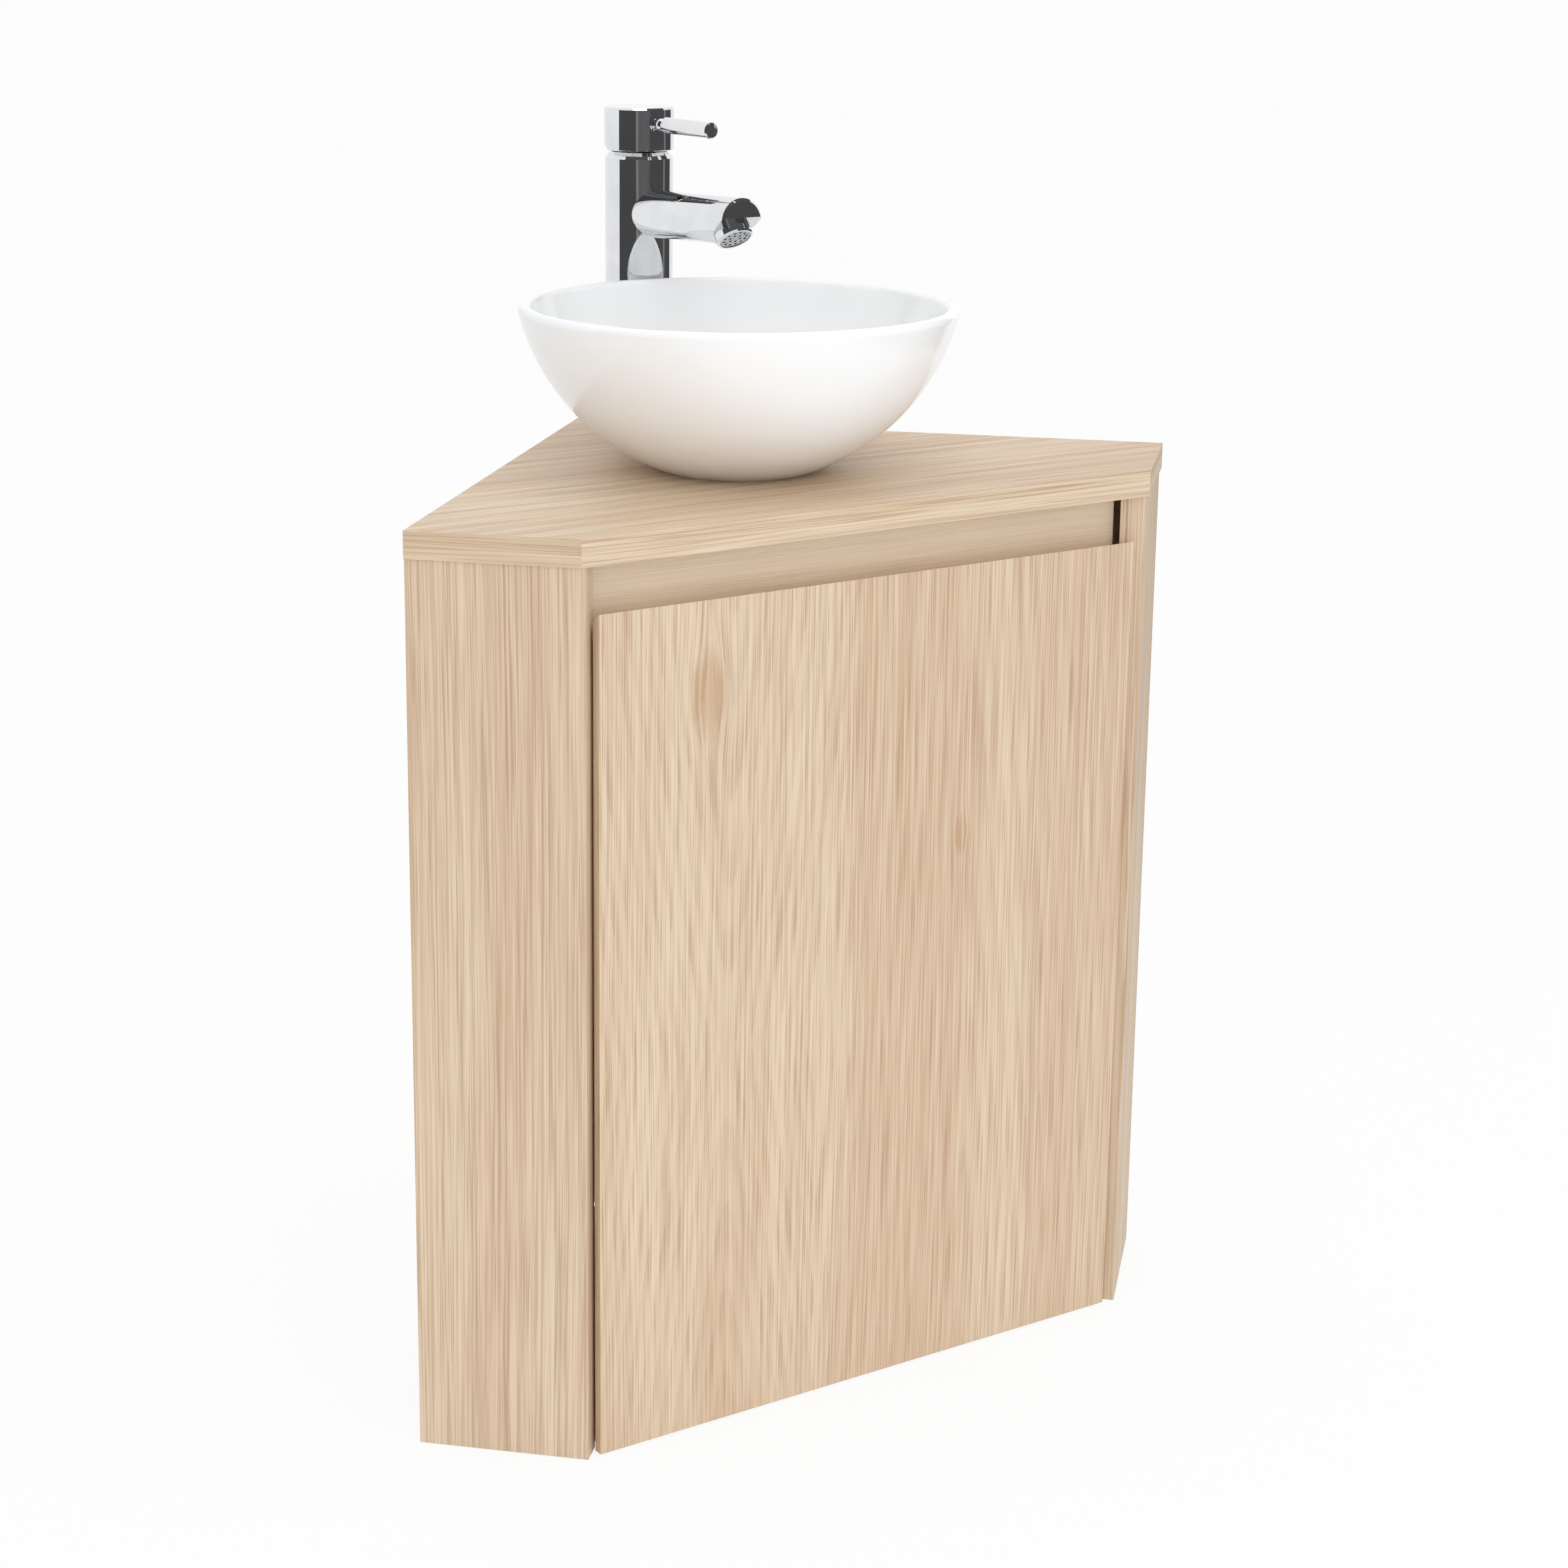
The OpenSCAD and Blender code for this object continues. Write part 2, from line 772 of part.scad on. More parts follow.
module waste_washer() {
    color(grey_rubber) at_bowl() translate([0, 0, bowl_floor]) washer(flange_r - 1, tail_r + fit, washer_t);
}

module waste_body() {
    color(chrome) at_bowl() difference() {
        union() {
            translate([0, 0, waste_top]) cylinder(h = flange_t - 1, r = flange_r);
            translate([0, 0, waste_top + flange_t - 1]) cylinder(h = 1, r1 = flange_r, r2 = flange_r - 1);
            translate([0, 0, -board - tail_drop]) cylinder(h = waste_top + board + tail_drop + 1, r = tail_r);
        }
        translate([0, 0, -board - tail_drop - edge])
            cylinder(h = waste_top + board + tail_drop + flange_t + 2 * edge, r = tail_bore);
    }
}

// Spider in the tail that guides the plug's stem
module waste_guide() {
    color(chrome) at_bowl() translate([0, 0, waste_top - guide_h]) difference() {
        union() {
            washer(tail_bore - fit, tail_bore - 2, guide_h);
            cylinder(h = guide_h, r = stem_r + 2.5);
            for (turn = [0, 120, 240])
                rotate([0, 0, turn]) translate([stem_r + 1, -1, 0]) cube([tail_bore - stem_r - 2, 2, guide_h]);
        }
        translate([0, 0, -edge]) cylinder(h = guide_h + 2 * edge, r = stem_r + fit / 2);
    }
}

module waste_plug() {
    cap_r = flange_r - 2;
    low = waste_top + flange_t + run_gap + plug_travel;
    color(chrome) at_bowl() {
        translate([0, 0, low]) cylinder(h = plug_t / 2, r = cap_r);
        translate([0, 0, low + plug_t / 2]) cylinder(h = plug_t / 2, r1 = cap_r, r2 = cap_r - plug_t);
        translate([0, 0, waste_top - guide_h - 4]) cylinder(h = low - waste_top + guide_h + 5, r = stem_r);
    }
}

module waste_gasket() {
    color(grey_rubber) at_bowl() translate([0, 0, -board - gasket_t]) washer(flange_r, tail_r + fit, gasket_t);
}

module waste_nut() {
    color(brass) at_bowl() translate([0, 0, -board - gasket_t - nut_t]) difference() {
        cylinder(h = nut_t, r = flange_r, $fn = 6);
        translate([0, 0, -edge]) cylinder(h = nut_t + 2 * edge, r = tail_r + fit);
    }
}

// Bottle trap. Heights are measured from the worktop's top
trap_top = -board - tail_drop;
neck_h = 14;
neck_r = tail_r + 0.2;
trap_low = trap_top - neck_h - trap_body_h;
shell = 3;
cup_r = trap_r + shell + fit;
cup_lap = 12;
branch_z = trap_top - neck_h - trap_body_h * 0.4;
branch_r = pipe_r + 4;
branch_l = 22;
rib_w = 2.5;
rib_h = 1.2;
bowl_from_wall = (bowl_front - bowl_x) / root2;

// Frame of the outlet branch: x runs from the trap's axis to the right wall
module at_branch() {
    at_bowl() translate([0, 0, branch_z]) rotate([0, 0, 45]) children();
}

module along_x(from, length, r) {
    translate([from, 0, 0]) rotate([0, 90, 0]) cylinder(h = length, r = r);
}

module knurled(r, height, grips) {
    difference() {
        cylinder(h = height, r = r);
        for (i = [0:grips - 1])
            rotate([0, 0, i * 360 / grips]) translate([r + 1.2, 0, -edge])
                cylinder(h = height + 2 * edge, r = 2.2, $fn = 16);
    }
}

module trap_inlet_nut() {
    color(white_plastic) at_bowl() translate([0, 0, trap_top - neck_h + 2]) difference() {
        knurled(neck_r + 6, neck_h + 8, 16);
        translate([0, 0, -edge]) cylinder(h = neck_h + 8 + 2 * edge, r = neck_r + fit);
    }
}

module trap_body() {
    dip_r = tail_bore + 2;
    color(white_plastic) difference() {
        union() {
            at_bowl() translate([0, 0, trap_top - neck_h]) cylinder(h = neck_h, r = neck_r);
            difference() {
                union() {
                    at_bowl() translate([0, 0, trap_low]) cylinder(h = trap_body_h, r = trap_r);
                    at_branch() along_x(0, trap_r + branch_l, branch_r);
                }
                at_bowl() translate([0, 0, trap_low - edge])
                    cylinder(h = trap_body_h - shell + edge, r = trap_r - shell);
                at_branch() along_x(0, trap_r + branch_l + edge, pipe_r + fit);
            }
            at_bowl() translate([0, 0, trap_low - cup_h * 0.45])
                cylinder(h = cup_h * 0.45 + trap_body_h, r = dip_r);
        }
        at_bowl() translate([0, 0, trap_low - cup_h])
            cylinder(h = cup_h + trap_body_h + neck_h + edge, r = tail_bore);
    }
}

module trap_cup() {
    color(white_plastic) at_bowl() translate([0, 0, trap_low + cup_lap - cup_h]) difference() {
        union() {
            translate([0, 0, 4]) cylinder(h = cup_h - 4, r = cup_r);
            cylinder(h = 4, r1 = cup_r - 4, r2 = cup_r);
            translate([0, 0, cup_h - cup_lap]) knurled(cup_r + 3, cup_lap, 20);
        }
        translate([0, 0, shell]) cylinder(h = cup_h, r = trap_r + fit);
    }
}

module trap_outlet_nut() {
    from = trap_r + branch_l - 14;
    length = 20;
    color(white_plastic) at_branch() difference() {
        translate([from, 0, 0]) rotate([0, 90, 0]) knurled(branch_r + 4.5, length, 14);
        along_x(from - edge, length - 3 + edge, branch_r + fit);
        along_x(from, length + edge, pipe_r + fit);
    }
}

module outlet_pipe() {
    from = trap_r + 4;
    length = bowl_from_wall - from - 1;
    color(white_plastic) at_branch() difference() {
        union() {
            along_x(from, length, pipe_r);
            along_x(from + length - pipe_end - rib_w, rib_w, pipe_r + rib_h);
        }
        along_x(from - edge, length + 2 * edge, pipe_r - 2);
    }
}

// Tap. Heights are measured from the worktop's top
tap_hole_r = 17;
groove_gap = 0.6;
groove_in = 2.8;
body_chamfer = 4;
head_bevel = 0.5;
head_round = 1.2;
head_cut_at = 1.5;
head_cut_slope = 25;
bore_r = tap_r - 4;
cartridge_h = 32;
cartridge_nut_h = 8;
nut_top = groove_z - 4;
socket_r = 11;
spindle_r = socket_r - fit;
pivot_z = groove_z - 16;
spindle_low = nut_top - cartridge_nut_h - 18;
spindle_top = groove_z - 8;
spindle_pin_r = 2;
pin_play = 0.04;
stem_w = 9;
stem_t = 8;
stem_low = pivot_z - 8;
stem_up = 15;
base_ring_h = 3;
stud_x = 9;
stud_r = 4;
stud_drop = 45;
inlet_r = 4.5;
inlet_front = 4;
clamp_t = 3;
clamp_r = tap_hole_r + 3;
washer_r = tap_hole_r + 4;
nose_bevel = 1.4;
nose_up = 2.7;
cut_slope = 34;
aerator_r = 11.8;
aerator_back = 15;
aerator_out = 6.5;
aerator_l = 12;
mesh_in = 0.5;
lever_in = 12;
neck_lever_r = 3;
neck_lever_l = 7.5;
flare_l = 4;
ball_r = 3.9;
notch_room = 4;
notch_to = (tap_front + tap_x) / root2 + washer_r + notch_room;
notch_h = stud_drop + 15;

module at_tap() {
    translate([tap_x, corner_y - tap_front, body_h]) children();
}

// Notch in the right back panel's top corner, which clears the clamp and the stud under the tap
module tap_notch() {
    in_walls() translate([-edge, board - edge, panel_h - notch_h])
        cube([board + 2 * edge, notch_to - board + edge, notch_h + edge]);
}

// Frame of the spout: z runs forwards along the spout's axis, and y up
module at_spout() {
    at_tap() translate([0, 0, spout_z]) rotate([90 - spout_rise, 0, 0]) children();
}

// Frame of the spout's outlet: z runs out of it, square to the slanted cut, which starts on the nose
module at_outlet() {
    at_spout() translate([0, nose_up, spout_reach]) rotate([90 - cut_slope, 0, 0])
        translate([0, -aerator_back, 0]) children();
}

module tap_body() {
    color(chrome) difference() {
        union() {
            at_tap() {
                translate([0, 0, base_ring_h])
                    cylinder(h = groove_z - body_chamfer - base_ring_h - groove_gap, r = tap_r);
                translate([0, 0, groove_z - body_chamfer - groove_gap])
                    cylinder(h = body_chamfer, r1 = tap_r, r2 = tap_r - groove_in);
            }
            difference() {
                at_spout() {
                    cylinder(h = spout_reach - nose_bevel, r1 = spout_root_r, r2 = spout_end_r);
                    translate([0, 0, spout_reach - nose_bevel])
                        cylinder(h = nose_bevel, r1 = spout_end_r, r2 = spout_end_r - nose_bevel);
                }
                at_outlet() translate([-tap_r, -3 * tap_r, 0]) cube([2 * tap_r, 6 * tap_r, 3 * tap_r]);
            }
        }
        at_tap() translate([0, 0, nut_top - cartridge_nut_h - cartridge_h])
            cylinder(h = cartridge_nut_h + cartridge_h + 5, r = bore_r);
        at_spout() translate([0, 0, tap_r]) cylinder(h = spout_reach - tap_r - aerator_back - 2, r = 7);
        at_outlet() translate([0, 0, -aerator_l + aerator_out]) cylinder(h = aerator_l, r = aerator_r + fit);
        at_tap() for (side = [-1, 1])
            translate([side * stud_x, -inlet_front, 0]) cylinder(h = 18, r = inlet_r);
        at_tap() translate([0, stud_x, 0]) cylinder(h = 16, r = stud_r + fit);
    }
}

module tap_base_ring() {
    color(chrome) at_tap() washer(tap_r + 1.5, tap_hole_r - 2, base_ring_h);
}

module aerator_housing() {
    color(chrome) at_outlet() translate([0, 0, -aerator_l + aerator_out]) difference() {
        union() {
            cylinder(h = aerator_l - 1, r = aerator_r);
            translate([0, 0, aerator_l - 1]) cylinder(h = 1, r1 = aerator_r, r2 = aerator_r - 0.8);
        }
        translate([0, 0, -edge]) cylinder(h = aerator_l + 2 * edge, r = aerator_r - 1.8);
    }
}

module aerator_mesh() {
    mesh_r = aerator_r - 1.8 - fit;
    color(steel) at_outlet() translate([0, 0, aerator_out - mesh_in - 5]) difference() {
        cylinder(h = 5, r = mesh_r);
        for (ring = [1, 2], i = [0:ring * 6 - 1])
            rotate([0, 0, i * 60 / ring]) translate([ring * 3.6, 0, -edge])
                cylinder(h = 5 + 2 * edge, r = 0.9, $fn = 16);
    }
}

module tap_stud() {
    color(brass) at_tap() translate([0, stud_x, -board - stud_drop])
        cylinder(h = board + stud_drop + 15.5, r = stud_r);
}

module tap_washer() {
    color(grey_rubber) at_tap() translate([0, 0, -board - clamp_t]) clamp_plate(washer_r);
}

module tap_clamp() {
    color(steel) at_tap() translate([0, 0, -board - 2 * clamp_t]) clamp_plate(clamp_r);
}

// Horseshoe plate with a slot for the two hoses and a hole for the stud
module clamp_plate(r) {
    difference() {
        cylinder(h = clamp_t, r = r);
        translate([-stud_x - inlet_r, -2 * r, -edge]) cube([2 * (stud_x + inlet_r), 2 * r + 2, clamp_t + 2 * edge]);
        translate([0, stud_x, -edge]) cylinder(h = clamp_t + 2 * edge, r = stud_r + fit);
    }
}

module tap_nut() {
    color(brass) at_tap() translate([0, stud_x, -board - 2 * clamp_t - 8]) difference() {
        cylinder(h = 8, r = stud_r * 1.9, $fn = 6);
        translate([0, 0, -edge]) cylinder(h = 8 + 2 * edge, r = stud_r + fit);
    }
}

module cartridge() {
    color(white_plastic) at_tap() difference() {
        translate([0, 0, nut_top - cartridge_nut_h - cartridge_h]) cylinder(h = cartridge_h, r = bore_r - fit);
        translate([0, 0, spindle_low]) cylinder(h = cartridge_h, r = socket_r);
    }
}

module cartridge_nut() {
    color(brass) at_tap() translate([0, 0, nut_top - cartridge_nut_h])
        washer(bore_r - fit, socket_r + run_gap, cartridge_nut_h);
}

module tap_spindle() {
    color(white_plastic) at_tap() difference() {
        translate([0, 0, spindle_low + fit]) cylinder(h = spindle_top - spindle_low - fit, r = spindle_r);
        translate([-stem_w / 2 - run_gap, -socket_r, stem_low - 1])
            cube([stem_w + 2 * run_gap, 2 * socket_r, cartridge_h]);
        translate([0, 0, pivot_z]) rotate([0, 90, 0])
            cylinder(h = 3 * socket_r, r = spindle_pin_r + pin_play, center = true);
    }
}

module spindle_pin() {
    color(steel) at_tap() translate([0, 0, pivot_z]) rotate([0, 90, 0])
        cylinder(h = 2 * spindle_r - 1.5, r = spindle_pin_r, center = true);
}

module lever_stem() {
    color(brass) at_tap() difference() {
        translate([-stem_w / 2, -stem_t / 2, stem_low]) cube([stem_w, stem_t, groove_z + stem_up - stem_low]);
        translate([0, 0, pivot_z]) rotate([0, 90, 0])
            cylinder(h = 3 * stem_w, r = spindle_pin_r + pin_play, center = true);
    }
}

module tap_head() {
    low = groove_z + groove_gap;
    high = groove_z + head_h;
    color(chrome) at_tap() difference() {
        union() {
            translate([0, 0, low]) cylinder(h = head_bevel, r1 = head_r - head_bevel, r2 = head_r);
            translate([0, 0, low + head_bevel])
                cylinder(h = high - low - head_bevel - head_round, r = head_r);
            translate([0, 0, high - head_round]) cylinder(h = head_round, r1 = head_r, r2 = head_r - head_round);
        }
        // Rear cut, which keeps the head off the body as it tips back
        translate([-2 * head_r, head_cut_at, low]) rotate([head_cut_slope, 0, 0])
            translate([0, 0, -head_h]) cube([4 * head_r, 2 * head_r, head_h]);
        translate([-stem_w / 2 - fit, -stem_t / 2 - fit, low - edge])
            cube([stem_w + 2 * fit, stem_t + 2 * fit, stem_up + edge]);
        translate([0, 0, groove_z + lever_up]) rotate([90, 0, 0]) translate([0, 0, lever_in])
            cylinder(h = head_r, r = neck_lever_r + fit);
    }
}

module lever_rod() {
    bare = lever_reach - head_r - neck_lever_l - flare_l;
    color(chrome) at_tap() translate([0, 0, groove_z + lever_up]) rotate([90, 0, 0]) difference() {
        union() {
            translate([0, 0, lever_in + fit]) cylinder(h = head_r + neck_lever_l - lever_in, r = neck_lever_r);
            translate([0, 0, head_r + ball_r]) sphere(r = ball_r);
            translate([0, 0, head_r + neck_lever_l]) cylinder(h = flare_l, r1 = neck_lever_r, r2 = lever_r);
            translate([0, 0, head_r + neck_lever_l + flare_l]) cylinder(h = bare - 0.8, r = lever_r);
            translate([0, 0, lever_reach - 0.8]) cylinder(h = 0.8, r1 = lever_r, r2 = lever_r - 0.8);
        }
        translate([0, 0, lever_reach - 0.8]) cylinder(h = 2, r = lever_r - 1.3);
    }
}

worktop();
left_side_panel();
right_side_panel();
left_back_panel();
right_back_panel();
bottom_panel();
front_rail();
shelf();
shelf_pins();
corner_screws();
base_screws();
cam_locks();
cam_bolts();
wood_dowels();
worktop_brackets();
bracket_screws();
upper_hinge_bracket();
lower_hinge_bracket();
upper_hinge_guide();
lower_hinge_guide();
hinge_bracket_screws();
catch_housing();
catch_magnet();
catch_screws();
door();
upper_hinge_bow();
lower_hinge_bow();
hinge_bow_screws();
catch_strike();
strike_screws();
door_bumpers();
basin();
waste_washer();
waste_body();
waste_guide();
waste_plug();
waste_gasket();
waste_nut();
trap_inlet_nut();
trap_body();
trap_cup();
trap_outlet_nut();
outlet_pipe();
tap_body();
tap_base_ring();
aerator_housing();
aerator_mesh();
tap_stud();
tap_washer();
tap_clamp();
tap_nut();
cartridge();
cartridge_nut();
tap_spindle();
spindle_pin();
lever_stem();
tap_head();
lever_rod();
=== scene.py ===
"""Looks of the corner vanity cabinet: oak boards, glazed bowl and chrome tap, in metres."""
import json
import math

import bpy
from mathutils import Matrix, Vector


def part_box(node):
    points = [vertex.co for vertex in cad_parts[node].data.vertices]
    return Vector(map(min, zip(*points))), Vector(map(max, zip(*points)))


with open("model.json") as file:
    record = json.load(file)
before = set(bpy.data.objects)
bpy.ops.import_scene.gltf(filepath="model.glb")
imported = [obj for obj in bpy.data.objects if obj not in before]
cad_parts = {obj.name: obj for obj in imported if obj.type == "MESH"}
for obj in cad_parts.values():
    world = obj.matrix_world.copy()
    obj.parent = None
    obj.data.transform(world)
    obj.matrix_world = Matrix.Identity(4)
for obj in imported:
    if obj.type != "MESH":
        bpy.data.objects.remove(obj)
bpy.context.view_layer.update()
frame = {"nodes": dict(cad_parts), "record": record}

MM = 0.001
NODES = frame["nodes"]
SLOTS = {row["node"]: row["material_slot"] for row in frame["record"]["subparts"]}


def srgb(red, green, blue):
    """A colour written as it shows on screen, as linear values for a socket."""
    def linear(value):
        return value / 12.92 if value <= 0.04045 else ((value + 0.055) / 1.055) ** 2.4
    return (linear(red), linear(green), linear(blue), 1)


def dimmed(colour, share):
    return [part * share for part in colour[:3]] + [1]


# Camera, fitted to the cabinet's corners in the photograph; pixels are in the photograph's frame
PHOTO_PX = 1568
FOCAL_PX = 3144.5
CENTRE_PX = (745, 700)
SENSOR_MM = 36
CAMERA_AT = Vector((-1.0641, -1.6249, 0.9038))
CAMERA_YAW = -0.5887
CAMERA_PITCH = 0.2546
CAMERA_ROLL = 0.0095
CAMERA_NEAR = 0.05


def make_camera():
    right = Vector((math.cos(CAMERA_YAW), math.sin(CAMERA_YAW), 0))
    ahead = Vector((-math.sin(CAMERA_YAW), math.cos(CAMERA_YAW), 0))
    up = Vector((0, 0, 1))
    look = ahead * math.cos(CAMERA_PITCH) - up * math.sin(CAMERA_PITCH)
    top = up * math.cos(CAMERA_PITCH) + ahead * math.sin(CAMERA_PITCH)
    side = right * math.cos(CAMERA_ROLL) + top * math.sin(CAMERA_ROLL)
    top = top * math.cos(CAMERA_ROLL) - right * math.sin(CAMERA_ROLL)
    turn = Matrix((side, top, -look)).transposed().to_4x4()
    data = bpy.data.cameras.new("camera")
    data.sensor_width = SENSOR_MM
    data.lens = FOCAL_PX / PHOTO_PX * SENSOR_MM
    data.shift_x = (PHOTO_PX / 2 - CENTRE_PX[0]) / PHOTO_PX
    data.shift_y = (CENTRE_PX[1] - PHOTO_PX / 2) / PHOTO_PX
    data.clip_start = CAMERA_NEAR
    camera = bpy.data.objects.new("camera", data)
    camera.matrix_world = Matrix.Translation(CAMERA_AT) @ turn
    bpy.context.scene.collection.objects.link(camera)
    bpy.context.scene.camera = camera


# Node graphs
LEVEL_FACE = 0.7


class Graph:
    """Adds shader nodes to a new material and links them."""

    def __init__(self, name):
        self.material = bpy.data.materials.new(name)
        self.material.use_nodes = True
        self.tree = self.material.node_tree
        self.shader = self.tree.nodes["Principled BSDF"]
        coords = self.tree.nodes.new("ShaderNodeTexCoord")
        self.place = coords.outputs["Object"]
        self.seed = 0.0
        self.facing = None

    def put(self, socket, value):
        if isinstance(value, bpy.types.NodeSocket):
            self.tree.links.new(value, socket)
        else:
            socket.default_value = value

    def scaled(self, *scale):
        node = self.tree.nodes.new("ShaderNodeMapping")
        self.put(node.inputs["Vector"], self.place)
        node.inputs["Scale"].default_value = scale
        return node.outputs["Vector"]

    def noise(self, vector, detail=2, roughness=0.5, warp=0):
        node = self.tree.nodes.new("ShaderNodeTexNoise")
        self.put(node.inputs["Vector"], vector)
        node.inputs["Scale"].default_value = 1
        node.inputs["Detail"].default_value = detail
        node.inputs["Roughness"].default_value = roughness
        node.inputs["Distortion"].default_value = warp
        return node.outputs["Fac"]

    def math(self, operation, first, second=0.0):
        node = self.tree.nodes.new("ShaderNodeMath")
        node.operation = operation
        self.put(node.inputs[0], first)
        self.put(node.inputs[1], second)
        return node.outputs[0]

    def span(self, value, low, high, to_low=0.0, to_high=1.0):
        """Goes smoothly from to_low to to_high while the value goes from low to high."""
        node = self.tree.nodes.new("ShaderNodeMapRange")
        node.interpolation_type = "SMOOTHSTEP"
        self.put(node.inputs["Value"], value)
        for name, number in (("From Min", low), ("From Max", high), ("To Min", to_low), ("To Max", to_high)):
            node.inputs[name].default_value = number
        return node.outputs["Result"]

    def mix(self, share, first, second):
        """One colour or the other, or both by the share."""
        node = self.tree.nodes.new("ShaderNodeMix")
        node.data_type = "RGBA"
        self.put(node.inputs[0], share)
        self.put(node.inputs[6], first)
        self.put(node.inputs[7], second)
        return node.outputs[2]

    def pick(self, share, first, second):
        """One number or the other."""
        node = self.tree.nodes.new("ShaderNodeMix")
        self.put(node.inputs[0], share)
        self.put(node.inputs[2], first)
        self.put(node.inputs[3], second)
        return node.outputs[0]

    def add(self, *values):
        total = values[0]
        for value in values[1:]:
            total = self.math("ADD", total, value)
        return total

    def centred(self, noise, width):
        """A noise as a number to either side of zero, over the whole width."""
        return self.math("MULTIPLY", self.math("SUBTRACT", noise, 0.5), width)

    def parts(self, vector):
        node = self.tree.nodes.new("ShaderNodeSeparateXYZ")
        self.put(node.inputs[0], vector)
        return node.outputs

    def face_place(self):
        """Where a point lies on its board's own face: along the level edge, and up, or back if level."""
        x, y, z = self.parts(self.place)
        turn = self.tree.nodes.new("ShaderNodeVectorTransform")
        turn.vector_type = "VECTOR"
        turn.convert_from = "WORLD"
        turn.convert_to = "OBJECT"
        geometry = self.tree.nodes.new("ShaderNodeNewGeometry")
        self.put(turn.inputs[0], geometry.outputs["True Normal"])
        nx, ny, nz = self.parts(turn.outputs[0])
        self.facing = (nx, ny, nz)
        is_level = self.math("GREATER_THAN", self.math("ABSOLUTE", nz), LEVEL_FACE)
        side = self.math("SUBTRACT", self.math("MULTIPLY", nx, y), self.math("MULTIPLY", ny, x))
        return self.pick(is_level, side, x), self.pick(is_level, z, y)

    def flat(self, across, length, wide, long):
        """A place on the face, scaled across and along the grain."""
        node = self.tree.nodes.new("ShaderNodeCombineXYZ")
        self.put(node.inputs[0], self.math("MULTIPLY", across, wide))
        self.put(node.inputs[1], self.math("MULTIPLY", length, long))
        node.inputs[2].default_value = self.seed
        return node.outputs[0]

    def ellipse(self, across, length, x, z, half_w, half_h):
        """How far to the side of an ellipse's middle a place is, and its squared reach from there."""
        side = self.math("DIVIDE", self.math("SUBTRACT", across, x), half_w)
        high = self.math("DIVIDE", self.math("SUBTRACT", length, z), half_h)
        return side, self.add(self.math("MULTIPLY", side, side), self.math("MULTIPLY", high, high))

    def bump(self, height, strength, distance):
        node = self.tree.nodes.new("ShaderNodeBump")
        self.put(node.inputs["Height"], height)
        node.inputs["Strength"].default_value = strength
        node.inputs["Distance"].default_value = distance
        self.put(self.shader.inputs["Normal"], node.outputs["Normal"])

    def set(self, **values):
        for name, value in values.items():
            self.put(self.shader.inputs[name.replace("_", " ")], value)
        return self.material


# Oak tones
OAK_PALE = srgb(0.932, 0.87, 0.778)
OAK_LIGHT = srgb(0.888, 0.804, 0.692)
OAK_MID = srgb(0.852, 0.738, 0.622)
OAK_DARK = srgb(0.72, 0.59, 0.465)
KNOT = srgb(0.77, 0.62, 0.48)

# The grain's bend: noise steps a metre across and along it, and its width
SWAY_STEPS = (2.6, 1.1)
SWAY_WIDTH = 14 * MM
RIPPLE_STEPS = (9, 2.6)
RIPPLE_WIDTH = 3.5 * MM
KNOT_FALL = -0.8
KNOT_PUSH = 0.7

# Noise steps a metre across and along the grain, from the broadest figure to the finest
BAND_STEPS = (16, 0.9)
STRAND_STEPS = (150, 0.9)
BLOT_STEPS = (80, 40)
STREAK_STEPS = (620, 3.4)
PORE_STEPS = (1150, 11)

# A noise's span, and the share of a tone or the number at its two ends
BAND_SPAN = (0.38, 0.62)
STRAND_DARK = (0.48, 0.72, 0, 0.2)
STREAK_PALE = (0.35, 0.6, 0.26, 0.0)
STREAK_DARK = (0.5, 0.68, 0.0, 0.26)
PORE_PALE = (0.3, 0.46, 0.4, 0.0)
PORE_SPAN = (0.47, 0.66)
PORE_BY_RING = (0.0, 0.7, 0.6, 1.0)
PORE_SHARE = 0.62
PORE_BUMP = 0.25
PORE_DEPTH = 0.2 * MM
RING_RISE = (0.2, 0.8)
RING_FALL = (0.85, 1.0, 1.0, 0.0)
RING_FRAY = 0.2
KNOT_SHARE = (0.0, 1.5, 0.85, 0.0)
KNOT_FRAY = 1.6
OAK_ROUGH = (0.3, 0.7, 0.42, 0.56)
PLAIN_FIGURE = 0.09
PLAIN_HEARTS = ((0.35, 0.0, 0.01, 0.03, 0.017),)


def warped_grain(graph, across, length, knots):
    """The place across the grain, swaying along the board and bulging round each knot."""
    sway = graph.noise(graph.flat(across, length, *SWAY_STEPS), detail=1)
    ripple = graph.noise(graph.flat(across, length, *RIPPLE_STEPS), detail=1)
    bent = graph.add(across, graph.centred(sway, SWAY_WIDTH), graph.centred(ripple, RIPPLE_WIDTH))
    for x, z, half_w, half_h in knots:
        side, reach = graph.ellipse(across, length, x, z, half_w, half_h)
        fall = graph.math("EXPONENT", graph.math("MULTIPLY", reach, KNOT_FALL))
        push = graph.math("MULTIPLY", graph.math("MULTIPLY", side, fall), half_w * KNOT_PUSH)
        bent = graph.math("SUBTRACT", bent, push)
    return bent


